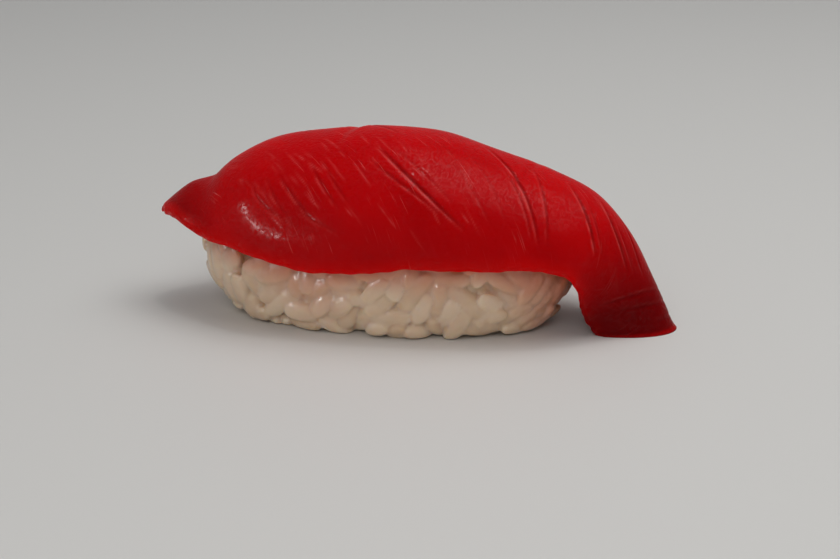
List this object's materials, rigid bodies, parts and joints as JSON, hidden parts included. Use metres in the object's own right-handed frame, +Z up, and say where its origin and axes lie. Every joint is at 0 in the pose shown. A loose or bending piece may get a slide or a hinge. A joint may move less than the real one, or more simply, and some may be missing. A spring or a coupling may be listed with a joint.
{
  "type": "tuna nigiri",
  "caption": "Tuna nigiri: a slice of raw red tuna draped over a hand-pressed block of sushi rice, one end lifted and the other hanging to the table.",
  "frame": {"origin": "middle of the rice block's flat base, on the surface that the sushi rests on", "axes": "+X along the sushi towards the tail that hangs to the table, -Y towards the front edge of the slice, +Z up"},
  "size_m": [0.0778, 0.0308, 0.0284],
  "materials": {
    "raw_tuna": "wet raw fish: deep red, moist sheen, light passes a few millimetres into it",
    "cooked_rice": "cooked short-grain rice: warm off-white, sticky and slightly glossy"
  },
  "bodies": {
    "root": {"tuna_slice": "raw_tuna", "rice_block": "cooked_rice"}
  },
  "joints": []
}
